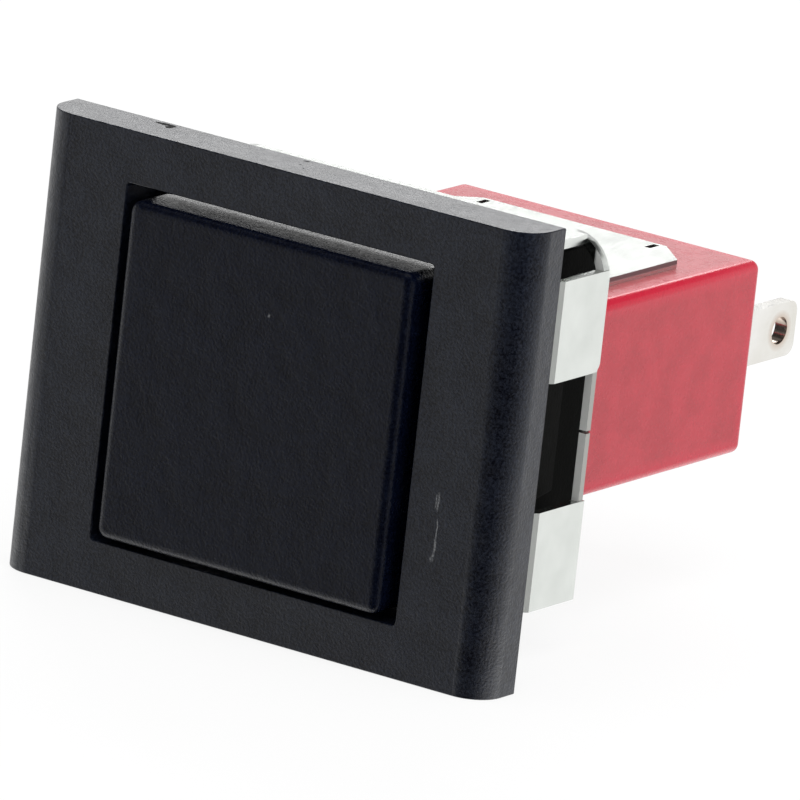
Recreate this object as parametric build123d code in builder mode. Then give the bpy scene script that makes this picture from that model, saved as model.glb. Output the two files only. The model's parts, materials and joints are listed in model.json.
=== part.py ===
"""Snap-in panel pushbutton switch, in millimetres.

X runs to the right seen from the front, Y rearwards into the panel and Z up. The origin is the middle
of the panel plane, which the rear face of the bezel lies on.
"""

import os
from math import cos, radians, sin, tan

from build123d import *

# Bezel
bezel_width = 20.25
bezel_height = 16.4
bezel_thickness = 2.05
bezel_end_round = 1.2
opening_size = 12.7
opening_corner_round = 0.15
guide_thickness = 0.9
guide_length = 6.4
cheek_length = 1.8
cheek_thickness = 0.47
cheek_gap = 0.05
cheek_chamfer = 1.15
seat_recess = 0.2
seat_play = 0.15

# Button cap
button_gap = 0.48
button_top_gap = 0.42
button_bottom_gap = 0.28
button_proud = 0.5
button_head_depth = 1.9
button_corner_round = 0.4
button_edge_round = 0.35
button_depth = 5.9
button_wall = 0.9
button_face_wall = 1.3
button_guide_gap = 0.1
boss_radius = 1.9
boss_depth = 4.2
cap_rib_width = 0.6
cap_rib_height = 1.0
cap_rib_gap = 0.5

# Snap bracket, one folded sheet
sheet = 0.32
band_gap = 0.23
band_rim = 0.34
band_top_bend = 1.5
band_bottom_bend = 0.4
notch_depth = 1.12
top_plate_front = 2.4
bottom_plate_front = 1.3
neck_gap = 0.05
wall_front = 0.3
ramp_rise = 0.86
ramp_angle = 34
ramp_end = 3.6
window_front = 1.4
window_bottom = -2.89
window_top = 1.7
window_corner_round = 0.35
rim_inset = 0.03
rim_lap = 0.6
seam_height = -0.43
seam_gap = 0.1
rim_step = 0.08
strap_inset = 1.2
strap_end_gap = 2.45
strap_chamfer = 1.3
strap_outer_bend = 0.6
strap_inner_bend = 0.3
barb_inset = 1.6
barb_width = 0.25
barb_slot_setback = 0.78
barb_slot_length = 0.6
barb_reach = 0.5
barb_drop = 0.35
barb_point = 0.12

# Bracket nubs on the bezel's guides
nub_play = 0.1
nub_height_play = 0.22
nub_rise = 0.85
nub_ridge_length = 1.6
nub_lead_rise = 0.25
nub_rear_play = 0.25

# Switch case, with its top and bottom measured from the push axis
case_width = 12.7
case_top = 3.3
case_bottom = 3.7
case_length = 12.0
case_edge_round = 0.35
case_end_wall = 0.75
case_top_wall = 0.75
case_bottom_wall = 1.15
case_rear_wall = 1.6
seal_depth = 1.0
seal_sink = 0.15
barb_pocket_depth = 0.45
barb_pocket_play = 0.1

# Case cover and its bushing
cover_seat_gap = 0.05
cover_thickness = 0.8
spigot_depth = 0.4
spigot_play = 0.1
bushing_wall = 0.95
bushing_length = 0.7
washer_thickness = 0.15
washer_width = 0.85
washer_play = 0.05
ring_wire = 0.24
ring_play = 0.02

# Plunger and follower
shaft_radius = 1.2
neck_radius = 1.1
neck_gap_front = 0.1
running_gap = 0.05
press_gap = 0.01
stop_gap = 0.05
foot_clearance = 3.3
foot_wall = 0.65
foot_side_play = 0.65
foot_left = -0.55
foot_right = 2.6
follower_x = 1.4
follower_radius = 0.6
follower_play = 0.05
touch_gap = 0.03

# Springs
return_wire = 0.18
return_play = 0.24
return_turns = 6
contact_wire = 0.09
contact_play = 0.1
contact_turns = 4
contact_spring_length = 2.48
reset_wire = 0.1
reset_radius = 0.7
reset_turns = 7
peg_play = 0.1
peg_length = 0.8
spring_gap = 0.02

# Rocker and contact points
rocker_tilt = 5.5
rocker_height = 3.0
rocker_sheet = 0.3
rocker_end_round = 0.6
horn_notch_width = 0.9
horn_notch_depth = 0.4
point_inset = 1.08
point_radius = 0.75
point_height = 0.35
point_edge_round = 0.15
point_upset_radius = 0.55
point_upset_height = 0.15
fixed_point_radius = 0.9
fixed_point_height = 0.39
fixed_point_edge_round = 0.12
rivet_radius = 0.35
contact_gap = 0.02

# Terminals
terminal_wall_gap = 0.27
blade_thickness = 0.5
blade_height = 2.0
blade_length = 4.4
blade_slot_gap = 0.03
blade_tip_round = 0.45
eye_radius = 0.5
eye_from_tip = 1.05
pad_height = 2.3
pad_margin = 0.1
pad_bend_land = 0.05
saddle_height = 3.5
saddle_shoulder_drop = 0.28
saddle_width = 2.1
saddle_land = 0.01
horn_height = 0.42
horn_reach = 0.7
fulcrum_gap = 0.02

# Places in the bezel and the bracket that follow from the sizes above
button_size = opening_size - 2 * button_gap
button_height = opening_size - button_top_gap - button_bottom_gap
button_drop = (button_top_gap - button_bottom_gap) / 2
button_front = -bezel_thickness - button_proud
button_inner = button_front + button_face_wall
button_skirt_front = button_front + button_head_depth
guide_inner = button_size / 2 + button_guide_gap
cheek_inner = case_width / 2 + cheek_gap
guide_outer = max(guide_inner + guide_thickness, cheek_inner + cheek_thickness)
guide_height = button_size
neck_outer = guide_outer + neck_gap + sheet
wall_outer = neck_outer + ramp_rise
ramp_start = ramp_end - ramp_rise / tan(radians(ramp_angle))
band_width = 2 * wall_outer
band_height = guide_height + 2 * (band_gap + sheet)
band_rear = guide_length
rim_front = band_rear - band_rim
plate_width = 2 * neck_outer
window_middle = (window_top + window_bottom) / 2
window_height = window_top - window_bottom

# Places in the case
cover_front = guide_length + cover_seat_gap
case_front = cover_front + cover_thickness
case_rear = case_front + case_length
case_height = case_top + case_bottom
case_middle = (case_top - case_bottom) / 2
cavity_width = case_width - 2 * case_end_wall
cavity_top = case_top - case_top_wall
cavity_bottom = case_bottom - case_bottom_wall
cavity_height = cavity_top + cavity_bottom
cavity_middle = (cavity_top - cavity_bottom) / 2
seal_front = case_rear - seal_depth
cavity_rear = seal_front - case_rear_wall
spigot_rear = case_front + spigot_depth
bushing_radius = shaft_radius + running_gap + bushing_wall
washer_front = cover_front - washer_thickness
return_radius = bushing_radius + return_play + return_wire
cap_rib_start = return_radius + return_wire + cap_rib_gap
strap_width = case_width - 2 * strap_inset
strap_rear = case_rear - strap_end_gap
barb_spacing = strap_width - 2 * barb_inset
barb_slot_front = strap_rear - barb_slot_setback
blade_tip = case_rear + blade_length

# Places of the contacts and of what moves them
terminal_pitch = case_width / 2 - case_end_wall - terminal_wall_gap - blade_thickness / 2
point_x = terminal_pitch - point_inset
rocker_length = 2 * (point_x + point_radius)
tilt = radians(rocker_tilt)
moving_reach = (point_x + point_radius - point_edge_round) * sin(tilt) + point_height * cos(tilt)
pad_front = cavity_rear - blade_thickness
pad_inner_end = point_x - fixed_point_radius - pad_margin
fixed_face = pad_front - fixed_point_height
fulcrum = fixed_face - contact_gap - moving_reach
saddle_front = fulcrum + fulcrum_gap
saddle_shoulder = saddle_front + saddle_shoulder_drop
neck_start = button_inner + neck_gap_front
foot_front = spigot_rear + stop_gap
foot_rear = fulcrum - foot_clearance
foot_height = cavity_height - 2 * foot_side_play
follower_bore_front = foot_front + foot_wall
follower_bore_radius = follower_radius + follower_play
follower_stack = rocker_sheet + follower_radius + touch_gap + follower_x * sin(tilt)
follower_tip_centre = fulcrum - follower_stack / cos(tilt)
follower_front = follower_bore_front + contact_spring_length
contact_radius = follower_bore_radius - contact_play - contact_wire
peg_radius = reset_radius - reset_wire - peg_play
reset_x = (foot_left - point_x + point_upset_radius) / 2
reset_spring_rear = fulcrum - rocker_sheet / cos(tilt) - (reset_x + reset_radius) * tan(tilt)


def across(y):
    """Plane square to the push axis at y: local x is X, local y is Z, negative extrudes run rearwards."""
    return Plane.XZ.offset(-y)


# Bezel: a frame with a recess inside its panel seat, and at each side a guide wall for the button with a
# cheek that holds the case and a nub that holds the bracket
with BuildPart() as bezel:
    with BuildSketch(across(-bezel_thickness)):
        Rectangle(bezel_width, bezel_height)
        RectangleRounded(opening_size, opening_size, opening_corner_round, mode=Mode.SUBTRACT)
    extrude(amount=-bezel_thickness)
    upright_front_edges = bezel.edges().filter_by(Axis.Z).group_by(Axis.Y)[0].sort_by(Axis.X)
    fillet([upright_front_edges[0], upright_front_edges[-1]], bezel_end_round)
    with BuildSketch(across(-seat_recess)):
        Rectangle(2 * (neck_outer + seat_play), band_height + 2 * seat_play)
    extrude(amount=-seat_recess, mode=Mode.SUBTRACT)
    with BuildSketch(across(-seat_recess)):
        with Locations(((guide_inner + guide_outer) / 2, 0)):
            Rectangle(guide_outer - guide_inner, guide_height)
    extrude(amount=-(seat_recess + guide_length))
    with BuildSketch(across(guide_length)):
        with Locations(((cheek_inner + guide_outer) / 2, 0)):
            Rectangle(guide_outer - cheek_inner, guide_height)
    extrude(amount=-cheek_length)
    chamfer(bezel.edges().filter_by(Axis.X).group_by(Axis.Y)[-1], cheek_chamfer)
    nub_front = window_front + nub_play
    nub_rear = rim_front - nub_rear_play
    nub_height = window_height - 2 * nub_height_play
    with BuildSketch(Plane.XY.offset(window_middle)):
        with BuildLine():
            Polyline(
                (guide_outer, nub_front),
                (guide_outer + nub_rise, nub_front),
                (guide_outer + nub_rise, nub_front + nub_ridge_length),
                (guide_outer + nub_lead_rise, nub_rear),
                (guide_outer, nub_rear),
                close=True,
            )
        make_face()
    extrude(amount=nub_height / 2, both=True)
    mirror(about=Plane.YZ)

# Button cap: a hollow cap with a head that fills the opening, a square skirt that runs in the guides,
# a socket for the plunger and four short ribs
with BuildPart() as button_cap:
    with BuildSketch(across(button_front)):
        with Locations((0, -button_drop)):
            RectangleRounded(button_size, button_height, button_corner_round)
    extrude(amount=-button_head_depth)
    fillet(button_cap.faces().sort_by(Axis.Y)[0].edges(), button_edge_round)
    with BuildSketch(across(button_skirt_front)):
        RectangleRounded(button_size, button_size, button_corner_round)
    extrude(amount=-(button_depth - button_head_depth))
    with BuildSketch(across(button_inner)):
        Rectangle(button_size - 2 * button_wall, button_size - 2 * button_wall)
    extrude(amount=-(button_depth - button_face_wall), mode=Mode.SUBTRACT)
    cap_rib_end = button_size / 2 - button_wall
    with BuildSketch(across(button_inner)):
        with PolarLocations((cap_rib_start + cap_rib_end) / 2, 4):
            Rectangle(cap_rib_end - cap_rib_start, cap_rib_width)
    extrude(amount=-cap_rib_height)
    with BuildSketch(across(button_inner)):
        Circle(boss_radius)
    extrude(amount=-boss_depth)
    with BuildSketch(across(button_inner)):
        Circle(neck_radius + press_gap)
    extrude(amount=-boss_depth, mode=Mode.SUBTRACT)

# Snap bracket: a band of folded spring sheet behind the bezel, with a strap above and below the case
with BuildPart() as snap_bracket:
    # End walls, straight at the rear, with a ramp down to a neck that grips the guides
    with BuildSketch(Plane.XY.offset(-band_height / 2)):
        with BuildLine():
            Polyline(
                (wall_outer, band_rear),
                (wall_outer, ramp_end),
                (neck_outer, ramp_start),
                (neck_outer, wall_front),
            )
            offset(amount=sheet, side=Side.RIGHT)
        make_face()
    extrude(amount=band_height - notch_depth)
    mirror(about=Plane.YZ)
    # Rim that runs all round the rear of the band
    with BuildSketch(across(rim_front)) as rim:
        Rectangle(band_width, band_height)
        fillet(rim.vertices().group_by(Axis.Y)[-1], band_top_bend)
        fillet(rim.vertices().group_by(Axis.Y)[0], band_bottom_bend)
        offset(amount=-sheet, mode=Mode.SUBTRACT)
    extrude(amount=-band_rim)
    # Windows for the nubs, with a rounded corner above and an inset rim behind
    with BuildSketch(Plane.YZ):
        with Locations(((window_front + band_rear) / 2, window_middle)):
            Rectangle(band_rear - window_front, window_height)
    extrude(amount=wall_outer, both=True, mode=Mode.SUBTRACT)
    window_edges = snap_bracket.edges().filter_by(Axis.X)
    rear_corners = window_edges.filter_by_position(Axis.Y, band_rear - 0.01, band_rear + 0.01)
    fillet(
        rear_corners.filter_by_position(Axis.Z, window_top - 0.01, window_top + 0.01),
        window_corner_round,
    )
    with BuildSketch(across(rim_front)):
        with Locations((0, window_middle)):
            with GridLocations(band_width - 2 * rim_inset - (sheet - rim_inset), 0, 2, 1):
                Rectangle(sheet - rim_inset, window_height + 2 * rim_lap)
    extrude(amount=-(band_rim - rim_step))
    # Seam where the two ends of the sheet meet, on the right only
    with BuildSketch(across(rim_front)):
        with Locations((wall_outer, seam_height)):
            Rectangle(2 * sheet, seam_gap)
    extrude(amount=-band_rim, mode=Mode.SUBTRACT)
    for side, case_half_height, plate_front in (
        (1, case_top, top_plate_front),
        (-1, case_bottom, bottom_plate_front),
    ):
        # Plate across the band
        plate_outside = side * band_height / 2
        with BuildSketch(Plane.YZ):
            with Locations(((plate_front + rim_front) / 2, plate_outside - side * sheet / 2)):
                Rectangle(rim_front - plate_front, sheet)
        extrude(amount=plate_width / 2, both=True)
        # Plate, web and strap in one fold
        strap_face = side * (case_half_height + sheet)
        with BuildSketch(Plane.YZ):
            with BuildLine():
                FilletPolyline(
                    (plate_front, plate_outside),
                    (band_rear, plate_outside),
                    (band_rear, strap_face),
                    (strap_rear, strap_face),
                    radius=[strap_outer_bend, strap_inner_bend],
                )
                offset(amount=sheet, side=Side.RIGHT if side > 0 else Side.LEFT)
            make_face()
        extrude(amount=strap_width / 2, both=True)
    strap_ends = snap_bracket.edges().filter_by(Axis.Z).group_by(Axis.Y)[-1]
    chamfer(strap_ends, strap_chamfer)
    # Slots near the ends of both straps, each with a barb bent into the case
    with BuildSketch(Plane.XY):
        with Locations((0, barb_slot_front + barb_slot_length / 2)):
            with GridLocations(barb_spacing, 0, 2, 1):
                Rectangle(barb_width, barb_slot_length)
    extrude(amount=band_height, both=True, mode=Mode.SUBTRACT)
    barb_rear = barb_slot_front + barb_reach
    for side, case_half_height in ((1, case_top), (-1, case_bottom)):
        strap_face = side * (case_half_height + sheet)
        barb_tip = side * (case_half_height - barb_drop)
        for x in (-barb_spacing / 2, barb_spacing / 2):
            with BuildSketch(Plane.YZ.offset(x)):
                with BuildLine():
                    Polyline(
                        (barb_slot_front - barb_point, strap_face),
                        (barb_slot_front, strap_face),
                        (barb_rear, barb_tip + side * barb_point),
                        (barb_rear - barb_point, barb_tip),
                        (barb_slot_front - barb_point, side * case_half_height),
                        close=True,
                    )
                make_face()
            extrude(amount=barb_width / 2, both=True)

# Switch case: a moulded box, open in front, with slots for the blades and a recess for the seal
with BuildPart() as switch_case:
    with BuildSketch(across(case_front)):
        with Locations((0, case_middle)):
            Rectangle(case_width, case_height)
    extrude(amount=-(case_rear - case_front))
    fillet(switch_case.edges().filter_by(Axis.Y), case_edge_round)
    fillet(switch_case.faces().sort_by(Axis.Y)[-1].edges(), case_edge_round)
    with BuildSketch(across(case_front)):
        with Locations((0, cavity_middle)):
            Rectangle(cavity_width, cavity_height)
    extrude(amount=-(cavity_rear - case_front), mode=Mode.SUBTRACT)
    with BuildSketch(across(seal_front)):
        with Locations((0, cavity_middle)):
            Rectangle(cavity_width, cavity_height)
    extrude(amount=-seal_depth, mode=Mode.SUBTRACT)
    with BuildSketch(across(cavity_rear)):
        with GridLocations(terminal_pitch, 0, 3, 1):
            Rectangle(blade_thickness + 2 * blade_slot_gap, blade_height + 2 * blade_slot_gap)
    extrude(amount=-(seal_front - cavity_rear), mode=Mode.SUBTRACT)
    for side, case_half_height in ((1, case_top), (-1, case_bottom)):
        pocket_length = barb_reach + 2 * barb_pocket_play
        with BuildSketch(Plane.XY.offset(side * case_half_height)):
            with Locations((0, barb_slot_front + barb_reach / 2)):
                with GridLocations(barb_spacing, 0, 2, 1):
                    Rectangle(barb_width + 2 * barb_pocket_play, pocket_length)
        extrude(amount=-side * barb_pocket_depth, mode=Mode.SUBTRACT)

# Case cover: closes the case in front, guides the plunger and seats the return spring
with BuildPart() as case_cover:
    ring_seat = spigot_rear - 2 * (ring_wire + ring_play)
    with BuildSketch(across(cover_front)):
        with Locations((0, case_middle)):
            Rectangle(case_width, case_height)
    extrude(amount=-cover_thickness)
    fillet(case_cover.edges().filter_by(Axis.Y), case_edge_round)
    with BuildSketch(across(case_front)):
        with Locations((0, cavity_middle)):
            Rectangle(cavity_width - 2 * spigot_play, cavity_height - 2 * spigot_play)
    extrude(amount=-spigot_depth)
    with BuildSketch(across(cover_front - bushing_length)):
        Circle(bushing_radius)
    extrude(amount=-bushing_length)
    with BuildSketch(across(spigot_rear)):
        with Locations((reset_x, 0)):
            Circle(peg_radius)
    extrude(amount=-peg_length)
    with BuildSketch(across(cover_front - bushing_length)):
        Circle(shaft_radius + running_gap)
    extrude(amount=-(bushing_length + cover_thickness + spigot_depth), mode=Mode.SUBTRACT)
    with BuildSketch(across(ring_seat)):
        Circle(shaft_radius + 2 * (ring_wire + ring_play))
    extrude(amount=-(spigot_rear - ring_seat), mode=Mode.SUBTRACT)

# Rubber ring round the plunger, in the rear of the cover
with BuildPart() as plunger_seal:
    with BuildSketch(Plane.XY):
        with Locations((shaft_radius + ring_wire + ring_play, spigot_rear - ring_wire - ring_play)):
            Circle(ring_wire)
    revolve(axis=Axis.Y)

# Thin washer between the return spring and the cover
with BuildPart() as spring_washer:
    with BuildSketch(across(washer_front)):
        Circle(bushing_radius + washer_play + washer_width)
        Circle(bushing_radius + washer_play, mode=Mode.SUBTRACT)
    extrude(amount=-washer_thickness)

# Plunger: a neck pressed into the cap, a guided shaft and a foot that carries the follower
with BuildPart() as plunger:
    neck_rear = button_inner + boss_depth
    with BuildSketch(across(neck_start)):
        Circle(neck_radius)
    extrude(amount=-(neck_rear - neck_start))
    with BuildSketch(across(neck_rear)):
        Circle(shaft_radius)
    extrude(amount=-(foot_front - neck_rear))
    with BuildSketch(across(foot_front)):
        with Locations(((foot_left + foot_right) / 2, cavity_middle)):
            Rectangle(foot_right - foot_left, foot_height)
    extrude(amount=-(foot_rear - foot_front))
    fillet(plunger.faces().sort_by(Axis.Y)[-1].edges(), case_edge_round)
    with BuildSketch(across(follower_bore_front)):
        with Locations((follower_x, 0)):
            Circle(follower_bore_radius)
    extrude(amount=-(foot_rear - follower_bore_front), mode=Mode.SUBTRACT)

# Follower: a pin with a round end that presses the rocker
with BuildPart() as spring_follower:
    with BuildSketch(across(follower_front)):
        with Locations((follower_x, 0)):
            Circle(follower_radius)
    extrude(amount=-(follower_tip_centre - follower_front))
    with Locations((follower_x, follower_tip_centre, 0)):
        Sphere(follower_radius)


def coil_spring(x, front, rear, mean_radius, wire_radius, turns):
    """Round wire wound about an axis along Y through x, from front to rear."""
    height = rear - front - 2 * wire_radius
    with BuildPart() as spring:
        with BuildLine():
            coil = Helix(
                pitch=height / turns,
                height=height,
                radius=mean_radius,
                center=(x, front + wire_radius, 0),
                direction=(0, 1, 0),
            )
        with BuildSketch(Plane(origin=coil @ 0, z_dir=coil % 0)):
            Circle(wire_radius)
        sweep(is_frenet=True)
    return spring


return_spring = coil_spring(
    0,
    button_inner + spring_gap,
    washer_front - spring_gap,
    return_radius,
    return_wire,
    return_turns,
)
contact_spring = coil_spring(
    follower_x,
    follower_bore_front + spring_gap,
    follower_front - spring_gap,
    contact_radius,
    contact_wire,
    contact_turns,
)
reset_spring = coil_spring(
    reset_x,
    spigot_rear + spring_gap,
    reset_spring_rear - spring_gap,
    reset_radius,
    reset_wire,
    reset_turns,
)

# Rear face of the rocker at rest, its normally closed end tilted rearwards; extrudes run forwards
rocker_rear = Plane(
    origin=(0, fulcrum, 0),
    x_dir=(cos(tilt), -sin(tilt), 0),
    z_dir=(-sin(tilt), -cos(tilt), 0),
)

# Rocker: a strip that seesaws on the saddle, with notches for the saddle's horns
with BuildPart() as rocker_contact:
    with BuildSketch(rocker_rear):
        RectangleRounded(rocker_length, rocker_height, rocker_end_round)
        with GridLocations(0, rocker_height - horn_notch_depth, 1, 2):
            Rectangle(horn_notch_width, horn_notch_depth, mode=Mode.SUBTRACT)
        with GridLocations(2 * point_x, 0, 2, 1):
            Circle(rivet_radius, mode=Mode.SUBTRACT)
    extrude(amount=rocker_sheet)


def moving_point(x):
    """Contact rivet on the rocker at x along it, with its head behind and its upset end in front."""
    with BuildPart() as point:
        with BuildSketch(rocker_rear):
            with Locations((x, 0)):
                Circle(point_radius)
        extrude(amount=-point_height)
        fillet(point.edges().sort_by(Axis.Y)[-1], point_edge_round)
        with BuildSketch(rocker_rear):
            with Locations((x, 0)):
                Circle(rivet_radius - press_gap)
        extrude(amount=rocker_sheet)
        with BuildSketch(rocker_rear.offset(rocker_sheet)):
            with Locations((x, 0)):
                Circle(point_upset_radius)
        extrude(amount=point_upset_height)
    return point


moving_point_open = moving_point(point_x)
moving_point_closed = moving_point(-point_x)


def fixed_point(x):
    """Contact rivet on a terminal's pad at x."""
    with BuildPart() as point:
        with BuildSketch(across(fixed_face)):
            with Locations((x, 0)):
                Circle(fixed_point_radius)
        extrude(amount=-(pad_front - fixed_face))
        fillet(point.edges().sort_by(Axis.Y)[0], fixed_point_edge_round)
        with BuildSketch(across(pad_front)):
            with Locations((x, 0)):
                Circle(rivet_radius - press_gap)
        extrude(amount=-blade_thickness)
    return point


fixed_point_open = fixed_point(point_x)
fixed_point_closed = fixed_point(-point_x)


def blade_outline(front):
    """Side view of a solder blade from front to its rounded tip, with its eye."""
    with Locations(((front + blade_tip - blade_tip_round) / 2, 0)):
        Rectangle(blade_tip - blade_tip_round - front, blade_height)
    with Locations((blade_tip - blade_height / 2, 0)):
        RectangleRounded(blade_height, blade_height, blade_tip_round)
    with Locations((blade_tip - eye_from_tip, 0)):
        Circle(eye_radius, mode=Mode.SUBTRACT)


def side_terminal(side):
    """Terminal at one side: a blade whose inner end is bent over as a pad for the fixed point."""
    blade_x = side * terminal_pitch
    pad_outer_end = side * (terminal_pitch + blade_thickness / 2)
    with BuildPart() as terminal:
        with BuildSketch(Plane.YZ.offset(blade_x)):
            blade_outline(pad_front)
        extrude(amount=blade_thickness / 2, both=True)
        with BuildSketch(across(pad_front)):
            with Locations(((pad_outer_end + side * pad_inner_end) / 2, 0)):
                Rectangle(abs(pad_outer_end) - pad_inner_end, pad_height)
        extrude(amount=-blade_thickness)
        front_edges = terminal.edges().filter_by(Axis.Z).group_by(Axis.Y)[0]
        fillet(front_edges.sort_by(Axis.X)[-1 if side > 0 else 0], blade_thickness - pad_bend_land)
        with BuildSketch(across(pad_front)):
            with Locations((side * point_x, 0)):
                Circle(rivet_radius)
        extrude(amount=-blade_thickness, mode=Mode.SUBTRACT)
    return terminal


terminal_normally_open = side_terminal(1)
terminal_normally_closed = side_terminal(-1)

# Common terminal: a blade whose broad inner end is the rocker's saddle, with a horn above and below
with BuildPart() as terminal_common:
    with BuildSketch(Plane.YZ):
        blade_outline(saddle_shoulder)
        with Locations(((saddle_shoulder + cavity_rear) / 2, 0)):
            Rectangle(cavity_rear - saddle_shoulder, saddle_height)
        with Locations(((saddle_front + saddle_shoulder) / 2, 0)):
            Rectangle(saddle_shoulder - saddle_front, saddle_width)
        horn_front = fulcrum - horn_reach
        with Locations(((horn_front + saddle_shoulder) / 2, 0)):
            with GridLocations(0, saddle_height - horn_height, 1, 2):
                Rectangle(saddle_shoulder - horn_front, horn_height)
    extrude(amount=blade_thickness / 2, both=True)
    saddle_edges = terminal_common.edges().filter_by(Axis.Z)
    fillet(
        saddle_edges.filter_by_position(Axis.Y, saddle_front - 0.01, saddle_front + 0.01),
        blade_thickness / 2 - saddle_land,
    )

# Potting round the blades at the rear of the case
with BuildPart() as terminal_seal:
    with BuildSketch(across(seal_front)):
        with Locations((0, cavity_middle)):
            Rectangle(cavity_width, cavity_height)
        with GridLocations(terminal_pitch, 0, 3, 1):
            Rectangle(blade_thickness, blade_height, mode=Mode.SUBTRACT)
    extrude(amount=-(seal_depth - seal_sink))

pieces = {
    "bezel": bezel,
    "button_cap": button_cap,
    "snap_bracket": snap_bracket,
    "switch_case": switch_case,
    "case_cover": case_cover,
    "plunger_seal": plunger_seal,
    "spring_washer": spring_washer,
    "plunger": plunger,
    "spring_follower": spring_follower,
    "return_spring": return_spring,
    "contact_spring": contact_spring,
    "reset_spring": reset_spring,
    "rocker_contact": rocker_contact,
    "moving_point_open": moving_point_open,
    "moving_point_closed": moving_point_closed,
    "fixed_point_open": fixed_point_open,
    "fixed_point_closed": fixed_point_closed,
    "terminal_normally_open": terminal_normally_open,
    "terminal_normally_closed": terminal_normally_closed,
    "terminal_common": terminal_common,
    "terminal_seal": terminal_seal,
}

os.makedirs("parts", exist_ok=True)
for name, piece in pieces.items():
    piece.part.label = name
    export_step(piece.part, f"parts/{name}.step")
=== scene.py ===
import json
from math import radians

import bpy
from mathutils import Matrix, Vector


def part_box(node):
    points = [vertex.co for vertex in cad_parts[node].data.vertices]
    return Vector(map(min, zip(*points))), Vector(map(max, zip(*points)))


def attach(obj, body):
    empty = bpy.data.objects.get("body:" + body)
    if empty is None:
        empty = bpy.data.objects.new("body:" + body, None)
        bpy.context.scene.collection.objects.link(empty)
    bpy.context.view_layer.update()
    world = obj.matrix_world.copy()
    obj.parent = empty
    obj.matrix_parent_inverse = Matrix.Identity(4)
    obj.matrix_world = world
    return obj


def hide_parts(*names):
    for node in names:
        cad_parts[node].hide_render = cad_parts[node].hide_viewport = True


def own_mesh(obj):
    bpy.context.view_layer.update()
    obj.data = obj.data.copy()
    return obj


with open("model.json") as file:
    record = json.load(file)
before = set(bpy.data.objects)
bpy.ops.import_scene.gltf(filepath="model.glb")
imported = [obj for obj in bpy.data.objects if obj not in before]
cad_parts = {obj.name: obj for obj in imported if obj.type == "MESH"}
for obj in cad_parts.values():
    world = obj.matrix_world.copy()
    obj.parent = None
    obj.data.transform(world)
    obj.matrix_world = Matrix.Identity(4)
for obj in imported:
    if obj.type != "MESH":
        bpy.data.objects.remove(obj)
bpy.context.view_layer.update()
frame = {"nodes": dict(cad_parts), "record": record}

MM = 0.001

# camera, in the CAD frame
CAMERA_PLACE = Vector((261.682, -404.847, 125.887)) * MM
CAMERA_RIGHT = Vector((0.82400, 0.55661, 0.10586))
CAMERA_UP = Vector((-0.22687, 0.15292, 0.96184))
CAMERA_LENS = 656.55
CAMERA_CLIP = (0.01, 50.0)
SENSOR_WIDTH = 36.0

# lamps: name, place and size in metres, power in watts, whether shiny surfaces show it
LAMPS = (
    ("lamp_back", (-0.455, 0.7, 0.6), 0.5, 4.2, True),
    ("lamp_top", (0.15, -0.1, 0.8), 0.6, 4.0, False),
    ("lamp_right", (0.8, -0.2, 0.25), 0.6, 3.0, False),
)

# white, the world's strength as a light, and the floor's size, surface and own glow to the camera
WHITE = (1.0, 1.0, 1.0, 1.0)
WORLD_DIFFUSE = 0.55
FLOOR_SIZE = 6.0
FLOOR_COLOUR = (0.86, 0.86, 0.86, 1.0)
FLOOR_ROUGHNESS = 0.9
FLOOR_GLOW = 0.86

# what shiny surfaces reflect: the studio's tone by azimuth in degrees, from +X towards +Y
AZIMUTH_TONES = (
    (-180, 0.95), (-150, 0.7), (-128, 0.52), (-106, 0.28), (-88, 0.02), (-48, 0.0),
    (-28, 0.12), (-8, 0.36), (12, 0.72), (32, 1.12), (60, 1.22), (100, 1.05), (180, 0.95),
)
# and by the height of the direction, as its sine
HEIGHT_TONES = (
    (-1.0, 1.8), (-0.6, 1.6), (-0.36, 1.0), (0.08, 1.0), (0.2, 0.82), (0.34, 0.82),
    (0.44, 0.3), (0.6, 0.08), (0.84, 0.06), (0.95, 0.7), (1.0, 0.9),
)

# where nearly all values of a noise lie, and narrower ranges for a stronger contrast
NOISE_RANGE = (0.3, 0.7)
PATCH_RANGE = (0.38, 0.62)
GRAIN_RANGE = (0.35, 0.65)
BREAK_RANGE = (0.4, 0.6)

# plastics, in mm: size of the broad patches and of the changes in gloss, and how far the roughness swings
PATCH_SIZE = 1.2
GLOSS_SIZE = 0.35
GLOSS_SWING = 0.06

# metals, in mm: the drawn grain's width and depth, its length in widths and its swing in roughness
DRAWN_GRAIN = 0.05
DRAWN_DEPTH = 0.0002
DRAWN_LENGTH = 14.0
DRAWN_SWING = (-0.04, 0.05)
# and their clouds, waves and the waves' depth
CLOUD_SIZE = 1.6
WAVE_SIZE = 2.4
WAVE_DEPTH = 0.004

# rub marks on the front faces, in mm: x, lowest and highest z, width
BEZEL_RUBS = (
    (7.55, -1.99, -1.37, 0.06), (7.47, -1.92, -1.45, 0.04), (7.6, -2.98, -2.3, 0.035),
    (7.58, -3.63, -2.95, 0.07), (7.52, -3.78, -3.62, 0.12),
)
BUTTON_RUBS = ((0.3, 3.2, 3.28, 0.08),)
RUB_COLOUR = (0.16, 0.165, 0.17, 1.0)
# how far they wander and over what length, the size of their breaks, their soft ends and their strength
RUB_WANDER = 0.03
RUB_WAVES = 0.5
RUB_BREAKS = 0.12
RUB_SOFTNESS = 0.05
RUB_STRENGTH = (0.2, 0.9)
# the range of y that holds the front faces, and its softness, in mm
FRONT_FACES = (-3.0, -1.5, 0.05)

# nicks on the bezel's top face, in mm: middle x and y, half length and half width
BEZEL_NICKS = (
    (-6.17, -0.34, 0.42, 0.15), (-5.88, -0.5, 0.14, 0.22), (-0.35, -0.26, 0.13, 0.07),
    (-0.21, -0.87, 0.05, 0.05), (0.15, -1.19, 0.05, 0.05),
)
NICK_COLOUR = (0.003, 0.003, 0.003, 1.0)
NICK_ROUGHNESS = 0.9
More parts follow.
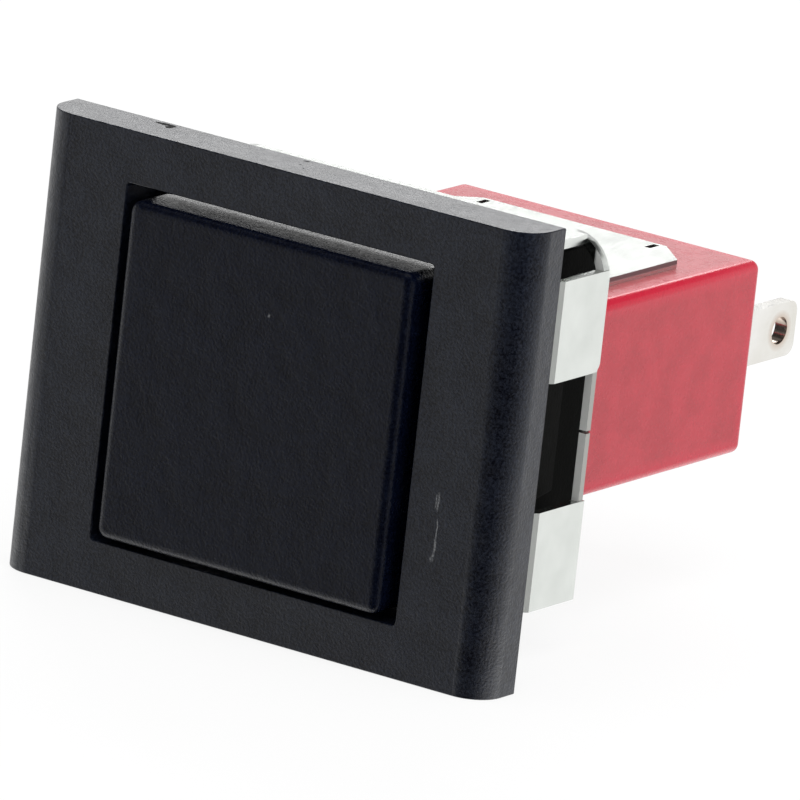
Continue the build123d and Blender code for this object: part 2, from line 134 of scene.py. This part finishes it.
# how raggedly they end, the rags' size in mm, and the fade over the square of the distance in half sizes
NICK_RAGS = 0.4
NICK_RAG_SIZE = 0.15
NICK_FADE = (0.7, 1.1)
# the heights in mm over which the top face's share rises
TOP_FACE = (7.9, 8.1)

# the bezel's plastic behind the panel, given painted shade that darkens it as if in shadow: where it starts
# in mm, its shaded surface and how little it reflects
INNER_START = (-0.05, 0.15)
INNER_SHADE_COLOUR = (0.004, 0.0045, 0.0035, 1.0)
INNER_ROUGHNESS = 1.0
INNER_SHADE_DULLNESS = 0.85

# the straps' torn sides, with painted shade on their outer halves, in mm: distance from the case, range of x
# either side with its softness, and front
TORN_OUTER = (0.12, 0.18)
TORN_SIDES = (3.2, 5.3, 0.05)
TORN_FRONT = (6.6, 6.7)
# how far such a side's normal may lean up or down
TORN_LEAN = (0.45, 0.65)
# painted shade: the darker pinkish grey of the torn halves, then their rougher surface
TORN_SHADE_COLOUR = (0.24, 0.20, 0.205, 1.0)
TORN_ROUGHNESS = 0.5

# the narrow rim behind each window, in mm: ranges of y and z with their softness, and x either side
RIM_DEPTH = (5.95, 6.5, 0.02)
RIM_HEIGHT = (-2.9, 1.7, 0.03)
RIM_SIDE = (7.3, 7.4)
RIM_COLOUR = (0.36, 0.36, 0.34, 1.0)
RIM_ROUGHNESS = 0.4

# the bracket's matt front edges: x either side from which they start in mm, and how far they face the front
CUT_SIDE = (7.6, 7.7)
CUT_FACING = (-0.7, -0.5)
CUT_COLOUR = (0.62, 0.63, 0.61, 1.0)
CUT_ROUGHNESS = 0.6

# the case's edges, redder with a painted glow of light shining through the translucent plastic: full and
# ending distance from an edge in mm
RED_GLOW_BAND = (0.3, 0.75)
RED_GLOW_COLOUR = (0.47, 0.012, 0.034, 1.0)

# the stain round each eye, in mm: from the blade's tip to the eye's middle, and full and ending radius
EYE_SETBACK = 1.05
STAIN_RADIUS = (0.5, 0.78)
STAIN_COLOUR = (0.50, 0.40, 0.33, 1.0)
STAIN_STRENGTH = 0.8

# rounded edges: radius and segments, the angles that count as an edge and as flat, and the gap that is welded
EDGE_WIDTH = 0.05 * MM
EDGE_SEGMENTS = 2
EDGE_ANGLE = 0.55
FLAT_ANGLE = 0.02
WELD_GAP = 0.001 * MM

# the bezel's lip in front of the bracket's bottom plate, in mm: half width, front, rear, bottom and top
LIP = (7.2, -0.3, 1.28, -6.42, -6.16)


# nodes under construction in a material or world
class Nodes:
    def __init__(self, tree):
        self.tree = tree
        self.tree.nodes.clear()

    # a node with values or sockets on its inputs
    def node(self, kind, inputs=None, **settings):
        made = self.tree.nodes.new(kind)
        for key, value in settings.items():
            setattr(made, key, value)
        for key, value in (inputs or {}).items():
            self.put(made, key, value)
        return made

    def put(self, made, key, value):
        if isinstance(value, bpy.types.NodeSocket):
            self.tree.links.new(value, made.inputs[key])
        else:
            made.inputs[key].default_value = value

    def math(self, operation, first, second=0.0):
        return self.node("ShaderNodeMath", {0: first, 1: second}, operation=operation).outputs[0]

    def product(self, *factors):
        result = factors[0]
        for factor in factors[1:]:
            result = self.math("MULTIPLY", result, factor)
        return result

    def sum_of_squares(self, first, second):
        return self.math("ADD", self.product(first, first), self.product(second, second))

    # a value carried from one range to another
    def span(self, value, start, end, low=0.0, high=1.0):
        inputs = {"Value": value, "From Min": start, "From Max": end, "To Min": low, "To Max": high}
        return self.node("ShaderNodeMapRange", inputs).outputs[0]

    # a grey that goes through the given tones over a value's range
    def tones(self, value, tones):
        first, last = tones[0][0], tones[-1][0]
        brightest = max(tone for place, tone in tones)
        ramp = self.node("ShaderNodeValToRGB", {"Fac": self.span(value, first, last)})
        stops = ramp.color_ramp.elements
        while len(stops) < len(tones):
            stops.new(0.5)
        for stop, (place, tone) in zip(stops, tones):
            stop.position = (place - first) / (last - first)
            stop.color = (tone / brightest,) * 3 + (1.0,)
        return self.math("MULTIPLY", ramp.outputs["Color"], brightest)


# a surface's material, with places in the CAD frame
class Shader(Nodes):
    def __init__(self, name):
        self.material = bpy.data.materials.new(name)
        self.material.use_nodes = True
        super().__init__(self.material.node_tree)
        self.surface = self.node("ShaderNodeBsdfPrincipled")
        self.output = self.node("ShaderNodeOutputMaterial", {"Surface": self.surface.outputs["BSDF"]})
        self.place = self.node("ShaderNodeTexCoord").outputs["Object"]

    def set(self, **values):
        for key, value in values.items():
            self.put(self.surface, key.replace("_", " "), value)

    # noise with features of the given size in mm, stretched along the axes
    def noise(self, size, detail=3.0, stretch=(1.0, 1.0, 1.0)):
        scale = [1.0 / (size * MM * s) for s in stretch]
        mapping = self.node("ShaderNodeMapping", {"Vector": self.place, "Scale": scale})
        inputs = {"Vector": mapping.outputs[0], "Scale": 1.0, "Detail": detail}
        return self.node("ShaderNodeTexNoise", inputs).outputs["Fac"]

    def mix(self, factor, first, second):
        mixer = self.node("ShaderNodeMix", data_type="RGBA")
        for index, value in zip((0, 6, 7), (factor, first, second)):
            self.put(mixer, index, value)
        return mixer.outputs[2]

    # a second colour where a mask is one, and there a second roughness if it is given
    def paint(self, mask, colour, rough=None):
        self.colour = self.mix(mask, self.colour, colour)
        self.set(Base_Color=self.colour)
        if rough is not None:
            mixer = self.node("ShaderNodeMix", {0: mask, 2: self.roughness, 3: rough}, data_type="FLOAT")
            self.roughness = mixer.outputs[0]
            self.set(Roughness=self.roughness)

    def axis(self, letter):
        return self.node("ShaderNodeSeparateXYZ", {"Vector": self.place}).outputs[letter]

    # distance from the middle plane
    def aside(self):
        return self.math("ABSOLUTE", self.axis("X"))

    # how far the surface faces along an axis
    def facing(self, letter):
        normal = self.node("ShaderNodeNewGeometry").outputs["Normal"]
        return self.node("ShaderNodeSeparateXYZ", {"Vector": normal}).outputs[letter]

    # bumps of the given depth in mm on top of any earlier ones
    def bump(self, height, depth, normal=None):
        made = self.node("ShaderNodeBump", {"Height": height, "Distance": depth * MM, "Strength": 1.0})
        if normal:
            self.put(made, "Normal", normal)
        return made.outputs[0]

    # rises from zero to one between two places in mm
    def beyond(self, value, start, end):
        return self.span(value, start * MM, end * MM)

    # falls from one to zero between two places in mm
    def within(self, value, start, end):
        return self.span(value, start * MM, end * MM, 1.0, 0.0)

    # one where a coordinate lies between two places in mm, with soft ends
    def between(self, value, low, high, soft):
        rise = self.beyond(value, low - soft, low + soft)
        return self.product(rise, self.within(value, high - soft, high + soft))


# moulded plastic: a fine grain, a broad unevenness and two shades
def moulded(name, dark, light, rough, grain=0.09, depth=0.004, level=0.3, patchy=0.25):
    shader = Shader(name)
    broad = shader.noise(PATCH_SIZE, 5.0)
    fine = shader.noise(grain, 2.0)
    patches = shader.span(broad, *PATCH_RANGE, 0.0, patchy)
    shade = shader.math("ADD", patches, shader.span(fine, *GRAIN_RANGE, 0.0, 1.0 - patchy))
    shader.colour = shader.mix(shade, (*dark, 1.0), (*light, 1.0))
    gloss = shader.noise(GLOSS_SIZE, 4.0)
    shader.roughness = shader.span(gloss, *NOISE_RANGE, rough - GLOSS_SWING, rough + GLOSS_SWING)
    swell = shader.bump(broad, depth * 2)
    shader.set(Base_Color=shader.colour, Roughness=shader.roughness, Normal=shader.bump(fine, depth, swell))
    shader.set(Specular_IOR_Level=level)
    return shader


# sheet or wire metal with a drawn grain along Y and a slight waviness
def metal(name, dark, light, rough):
    shader = Shader(name)
    grain = shader.noise(DRAWN_GRAIN, 3.0, (1.0, DRAWN_LENGTH, 1.0))
    cloud = shader.noise(CLOUD_SIZE, 4.0)
    shader.colour = shader.mix(shader.span(cloud, *NOISE_RANGE), (*dark, 1.0), (*light, 1.0))
    smoothest, roughest = (rough + swing for swing in DRAWN_SWING)
    shader.roughness = shader.span(grain, *NOISE_RANGE, smoothest, roughest)
    waves = shader.bump(shader.noise(WAVE_SIZE, 1.0), WAVE_DEPTH)
    normal = shader.bump(grain, DRAWN_DEPTH, waves)
    shader.set(Base_Color=shader.colour, Roughness=shader.roughness, Normal=normal, Metallic=1.0)
    return shader


# upright rub marks on a front face
def rub(shader, marks):
    for x, low, high, width in marks:
        swing = shader.span(shader.noise(RUB_WAVES), *NOISE_RANGE, -1.0, 1.0)
        wander = shader.math("MULTIPLY", swing, RUB_WANDER * MM)
        across = shader.math("ADD", shader.axis("X"), wander)
        streak = shader.between(across, x - width / 2, x + width / 2, width / 3)
        length = shader.between(shader.axis("Z"), low, high, RUB_SOFTNESS)
        front = shader.between(shader.axis("Y"), *FRONT_FACES)
        broken = shader.span(shader.noise(RUB_BREAKS, 2.0), *BREAK_RANGE, *RUB_STRENGTH)
        shader.paint(shader.product(streak, length, front, broken), RUB_COLOUR)


# dark nicks on a top face, each an uneven oval
def nick(shader, marks):
    top = shader.beyond(shader.axis("Z"), *TOP_FACE)
    for x, y, half_length, half_width in marks:
        across = shader.math("DIVIDE", shader.math("SUBTRACT", shader.axis("X"), x * MM), half_length * MM)
        along = shader.math("DIVIDE", shader.math("SUBTRACT", shader.axis("Y"), y * MM), half_width * MM)
        rags = shader.span(shader.noise(NICK_RAG_SIZE, 2.0), *NOISE_RANGE, -NICK_RAGS, NICK_RAGS)
        ragged = shader.math("ADD", shader.sum_of_squares(across, along), rags)
        mark = shader.span(ragged, *NICK_FADE, 1.0, 0.0)
        shader.paint(shader.product(mark, top), NICK_COLOUR, NICK_ROUGHNESS)


# the black plastic behind the panel plane, dull and dark with painted shade
def shade_behind_panel(shader):
    behind = shader.beyond(shader.axis("Y"), *INNER_START)
    # painted shade: a near-black colour, and metallic with that colour so it reflects almost nothing,
    # standing in for shadow inside the housing
    shader.paint(behind, INNER_SHADE_COLOUR, INNER_ROUGHNESS)
    shader.set(Metallic=shader.math("MULTIPLY", behind, INNER_SHADE_DULLNESS))


# a box-shaped node's translucent edges, redder than its faces with a painted glow of light shining through
# them
def paint_edge_glow(shader, node):
    low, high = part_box(node)
    middle, half = (low + high) / 2, (high - low) / 2
    gaps = []
    for index, letter in enumerate("XYZ"):
        offset = shader.math("SUBTRACT", shader.axis(letter), middle[index])
        gaps.append(shader.math("SUBTRACT", half[index], shader.math("ABSOLUTE", offset)))
    # the second smallest gap to a face is the distance from the nearest edge
    lesser = shader.math("MINIMUM", gaps[0], gaps[1])
    greater = shader.math("MAXIMUM", gaps[0], gaps[1])
    edge_gap = shader.math("MAXIMUM", lesser, shader.math("MINIMUM", greater, gaps[2]))
    # painted glow: a brighter red near the edges, standing in for light shining through the plastic
    shader.paint(shader.within(edge_gap, *RED_GLOW_BAND), RED_GLOW_COLOUR)


# the straps' sheared sides: torn, rougher and darkened by painted shade in the outer half, burnished in the
# half that touches the case
def shade_torn_sides(shader):
    low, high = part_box("switch_case")
    above = shader.math("SUBTRACT", shader.axis("Z"), high.z)
    below = shader.math("SUBTRACT", low.z, shader.axis("Z"))
    outer = shader.beyond(shader.math("MAXIMUM", above, below), *TORN_OUTER)
    upright = shader.span(shader.math("ABSOLUTE", shader.facing("Z")), *TORN_LEAN, 1.0, 0.0)
    side = shader.between(shader.aside(), *TORN_SIDES)
    along = shader.beyond(shader.axis("Y"), *TORN_FRONT)
    # painted shade in a darker pinkish grey on the outer half, besides the torn half's real rougher surface
    shader.paint(shader.product(upright, side, along, outer), TORN_SHADE_COLOUR, TORN_ROUGHNESS)


# the narrow rim behind each window, set in from the walls
def dull_rim(shader):
    along = shader.between(shader.axis("Y"), *RIM_DEPTH)
    height = shader.between(shader.axis("Z"), *RIM_HEIGHT)
    side = shader.beyond(shader.aside(), *RIM_SIDE)
    shader.paint(shader.product(along, height, side), RIM_COLOUR, RIM_ROUGHNESS)


# the bracket walls' cut front edges
def matt_edges(shader):
    front = shader.span(shader.facing("Y"), *CUT_FACING, 1.0, 0.0)
    edge = shader.product(front, shader.beyond(shader.aside(), *CUT_SIDE))
    shader.paint(edge, CUT_COLOUR, CUT_ROUGHNESS)
    shader.set(Metallic=shader.math("SUBTRACT", 1.0, edge))


# the brownish stain round a terminal's eye
def stain_eye(shader, node):
    along = shader.math("SUBTRACT", shader.axis("Y"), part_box(node)[1].y - EYE_SETBACK * MM)
    reach = shader.math("SQRT", shader.sum_of_squares(along, shader.axis("Z")))
    ring = shader.within(reach, *STAIN_RADIUS)
    shader.paint(shader.product(ring, STAIN_STRENGTH), STAIN_COLOUR)


# an object in the scene
def add(name, data):
    made = bpy.data.objects.new(name, data)
    bpy.context.scene.collection.objects.link(made)
    return made


# a piece with a mesh of the scene's own
def build(name, corners, faces, material):
    mesh = bpy.data.meshes.new(name)
    mesh.from_pydata(corners, [], faces)
    mesh.materials.append(material)
    return add(name, mesh)


# a CAD node's sharp edges, rounded by a moulding's or a cut sheet's small radius
def soften(node, clamp=False):
    piece = frame["nodes"][node]
    weld = piece.modifiers.new("weld", "WELD")
    weld.merge_threshold = WELD_GAP
    flat = piece.modifiers.new("flat", "DECIMATE")
    flat.decimate_type = "DISSOLVE"
    flat.angle_limit = FLAT_ANGLE
    edge = piece.modifiers.new("edge", "BEVEL")
    edge.width = EDGE_WIDTH
    edge.segments = EDGE_SEGMENTS
    edge.limit_method = "ANGLE"
    edge.angle_limit = EDGE_ANGLE
    edge.use_clamp_overlap = clamp
    edge.harden_normals = True


# a coil spring: a copy of its CAD node with its own mesh, attached to the housing, with the node hidden
def squeeze(node):
    coil = add(node + "_coil", frame["nodes"][node].data.copy())
    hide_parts(node)
    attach(coil, "housing")
    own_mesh(coil)


# a square soft lamp that points at the origin
def lamp(name, place, size, power, mirrored):
    data = bpy.data.lights.new(name, "AREA")
    data.size = size
    data.energy = power
    made = add(name, data)
    made.location = place
    made.rotation_euler = Vector(place).to_track_quat("Z", "Y").to_euler()
    made.visible_glossy = mirrored


# materials by slot
black_frame = moulded(
    "frame_plastic", (0.0, 0.0002, 0.003), (0.0092, 0.0122, 0.0215), 0.34, depth=0.019, level=0.5
)
black_cap = moulded("cap_plastic", (0.0, 0.0002, 0.003), (0.0025, 0.0042, 0.0115), 0.26, depth=0.021)
spring_steel = metal("bracket_steel", (0.585, 0.607, 0.58), (0.648, 0.67, 0.643), 0.22)
red_case = moulded(
    "case_plastic", (0.36, 0.013, 0.026), (0.435, 0.019, 0.036), 0.28,
    grain=0.06, depth=0.0009, level=0.42, patchy=0.7,
)
plated_terminal = metal("terminal_plate", (0.64, 0.625, 0.58), (0.725, 0.715, 0.69), 0.18)
materials = {
    "black_frame": black_frame,
    "black_cap": black_cap,
    "spring_steel": spring_steel,
    "red_case": red_case,
    "black_cover": moulded("cover_plastic", (0.014, 0.014, 0.014), (0.024, 0.024, 0.024), 0.5),
    "seal_rubber": moulded("seal_rubber", (0.02, 0.02, 0.02), (0.035, 0.035, 0.034), 0.6),
    "washer_steel": metal("washer_steel", (0.52, 0.52, 0.53), (0.62, 0.62, 0.62), 0.3),
    "white_plunger": moulded("plunger_plastic", (0.70, 0.70, 0.66), (0.78, 0.78, 0.75), 0.4, level=0.5),
    "white_follower": moulded("follower_plastic", (0.70, 0.70, 0.66), (0.78, 0.78, 0.75), 0.4, level=0.5),
    "spring_wire": metal("spring_wire", (0.50, 0.50, 0.51), (0.62, 0.62, 0.62), 0.25),
    "contact_copper": metal("contact_copper", (0.70, 0.42, 0.24), (0.80, 0.52, 0.32), 0.28),
    "silver_point": metal("silver_point", (0.82, 0.81, 0.79), (0.90, 0.89, 0.87), 0.18),
    "plated_terminal": plated_terminal,
    "potting": moulded("potting_resin", (0.02, 0.02, 0.025), (0.035, 0.035, 0.04), 0.25, level=0.5),
}

rub(black_frame, BEZEL_RUBS)
nick(black_frame, BEZEL_NICKS)
# painted shade on the bezel's plastic behind the panel plane
shade_behind_panel(black_frame)
rub(black_cap, BUTTON_RUBS)
# painted glow of light through the red case's edges
paint_edge_glow(red_case, "switch_case")
# painted shade on the outer halves of the straps' sides
shade_torn_sides(spring_steel)
dull_rim(spring_steel)
matt_edges(spring_steel)
stain_eye(plated_terminal, "terminal_normally_open")

slots = {row["node"]: row["material_slot"] for row in frame["record"]["subparts"]}
for node, piece in frame["nodes"].items():
    piece.data.materials.clear()
    piece.data.materials.append(materials[slots[node]].material)

soften("bezel")
soften("switch_case")
soften("snap_bracket", clamp=True)

squeeze("return_spring")
squeeze("contact_spring")
squeeze("reset_spring")

# the lip, a low wall on the bezel that shuts the slot under the button
half_width, front, rear, bottom, top = (value * MM for value in LIP)
corners = [(x, y, z) for x in (-half_width, half_width) for y in (front, rear) for z in (bottom, top)]
faces = [(0, 1, 3, 2), (4, 6, 7, 5), (0, 4, 5, 1), (2, 3, 7, 6), (0, 2, 6, 4), (1, 5, 7, 3)]
lip = build("bezel_lip", corners, faces, black_frame.material)
lip_edge = lip.modifiers.new("edge", "BEVEL")
lip_edge.width = EDGE_WIDTH
lip_edge.segments = EDGE_SEGMENTS
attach(lip, "housing")

# camera
camera_data = bpy.data.cameras.new("camera")
camera_data.lens = CAMERA_LENS
camera_data.sensor_width = SENSOR_WIDTH
camera_data.sensor_fit = "HORIZONTAL"
camera_data.clip_start, camera_data.clip_end = CAMERA_CLIP
camera = add("camera", camera_data)
backward = CAMERA_RIGHT.cross(CAMERA_UP)
turn = Matrix((CAMERA_RIGHT, CAMERA_UP, backward)).transposed().to_4x4()
camera.matrix_world = Matrix.Translation(CAMERA_PLACE) @ turn
bpy.context.scene.camera = camera
bpy.context.scene.view_settings.view_transform = "Standard"

# world: white to the camera, toned in reflections and dimmer as a light
world = bpy.data.worlds.new("studio")
bpy.context.scene.world = world
world.use_nodes = True
studio = Nodes(world.node_tree)
direction = studio.node("ShaderNodeTexCoord").outputs["Generated"]
split = studio.node("ShaderNodeSeparateXYZ", {"Vector": direction}).outputs
azimuth = studio.math("ARCTAN2", split["Y"], split["X"])
around = studio.tones(azimuth, [(radians(angle), tone) for angle, tone in AZIMUTH_TONES])
reflected = studio.product(around, studio.tones(split["Z"], HEIGHT_TONES))
rays = studio.node("ShaderNodeLightPath").outputs
straight = studio.math("MAXIMUM", rays["Is Camera Ray"], rays["Is Transmission Ray"])
glossy = studio.product(rays["Is Glossy Ray"], reflected)
seen = studio.math("MAXIMUM", straight, rays["Is Glossy Ray"])
unseen = studio.product(studio.math("SUBTRACT", 1.0, seen), WORLD_DIFFUSE)
strength = studio.math("ADD", studio.math("ADD", straight, glossy), unseen)
sky = studio.node("ShaderNodeBackground", {"Color": WHITE, "Strength": strength})
studio.node("ShaderNodeOutputWorld", {"Surface": sky.outputs[0]})

for row in LAMPS:
    lamp(*row)

# the floor's paper: white to the camera, with the object's soft shadow
paper = Shader("paper")
paper.set(Base_Color=FLOOR_COLOUR, Roughness=FLOOR_ROUGHNESS)
glow = paper.node("ShaderNodeEmission", {"Color": WHITE, "Strength": 1.0})
share = paper.product(paper.node("ShaderNodeLightPath").outputs["Is Camera Ray"], FLOOR_GLOW)
blend = paper.node("ShaderNodeMixShader", {0: share, 1: paper.surface.outputs[0], 2: glow.outputs[0]})
paper.put(paper.output, "Surface", blend.outputs[0])

# floor, not mirrored in the object
floor_height = min(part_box(node)[0].z for node in frame["nodes"])
half = FLOOR_SIZE / 2
corners = [(-half, -half, floor_height), (half, -half, floor_height), (half, half, floor_height)]
corners.append((-half, half, floor_height))
floor = build("floor", corners, [(0, 1, 2, 3)], paper.material)
floor.visible_glossy = False
